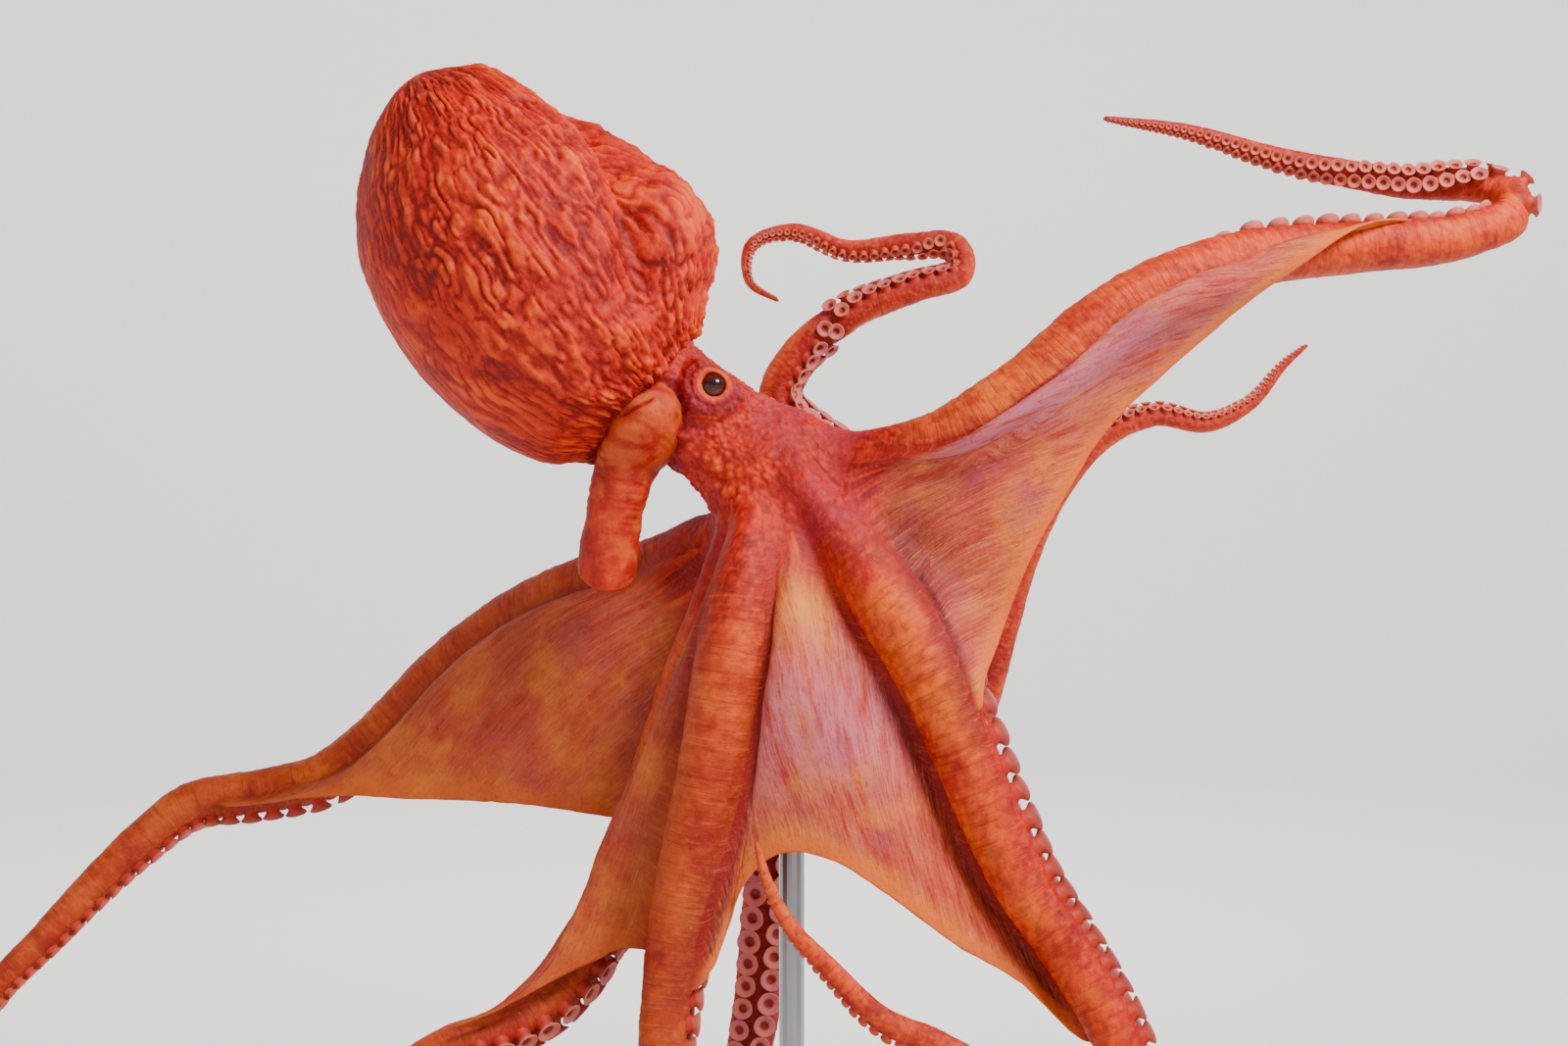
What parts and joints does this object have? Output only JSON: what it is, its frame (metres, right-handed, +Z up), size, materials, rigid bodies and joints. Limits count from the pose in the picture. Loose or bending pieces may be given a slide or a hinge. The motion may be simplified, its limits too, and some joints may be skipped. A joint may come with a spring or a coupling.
{
  "type": "octopus",
  "caption": "Life-size swimming octopus as a still display model, arms and webs spread, held on a flat base by one steel rod.",
  "frame": {"origin": "middle of the underside of the stand's base", "axes": "+Z up; the mantle leans up and towards -X, the arms fan out from the crown, and the animal's right side faces -Y"},
  "size_m": [1.6512, 0.8305, 1.3966],
  "materials": {
    "skin": "satin",
    "eye": "gloss",
    "sucker": "satin",
    "stand_board": "satin",
    "stand_steel": "satin"
  },
  "bodies": {
    "root": {"mantle": "skin", "siphon": "skin", "head": "skin", "eye_right": "eye", "eye_left": "eye", "crown": "skin", "arm_right_1_root": "skin", "arm_right_1_upper": "skin", "arm_right_1_lower": "skin", "arm_right_1_tip": "skin", "arm_right_2_root": "skin", "arm_right_2_upper": "skin", "arm_right_2_lower": "skin", "arm_right_2_tip": "skin", "arm_right_3_root": "skin", "arm_right_3_upper": "skin", "arm_right_3_lower": "skin", "arm_right_3_tip": "skin", "arm_right_4_root": "skin", "arm_right_4_upper": "skin", "arm_right_4_lower": "skin", "arm_right_4_tip": "skin", "arm_left_4_root": "skin", "arm_left_4_upper": "skin", "arm_left_4_lower": "skin", "arm_left_4_tip": "skin", "arm_left_3_root": "skin", "arm_left_3_upper": "skin", "arm_left_3_lower": "skin", "arm_left_3_tip": "skin", "arm_left_2_root": "skin", "arm_left_2_upper": "skin", "arm_left_2_lower": "skin", "arm_left_2_tip": "skin", "arm_left_1_root": "skin", "arm_left_1_upper": "skin", "arm_left_1_lower": "skin", "arm_left_1_tip": "skin", "web_right_1_right_2": "skin", "web_right_2_right_3": "skin", "web_right_3_right_4": "skin", "web_right_4_left_4": "skin", "web_left_4_left_3": "skin", "web_left_3_left_2": "skin", "web_left_2_left_1": "skin", "web_left_1_right_1": "skin", "stand_base": "stand_board", "stand_rod": "stand_steel"}
  },
  "joints": []
}
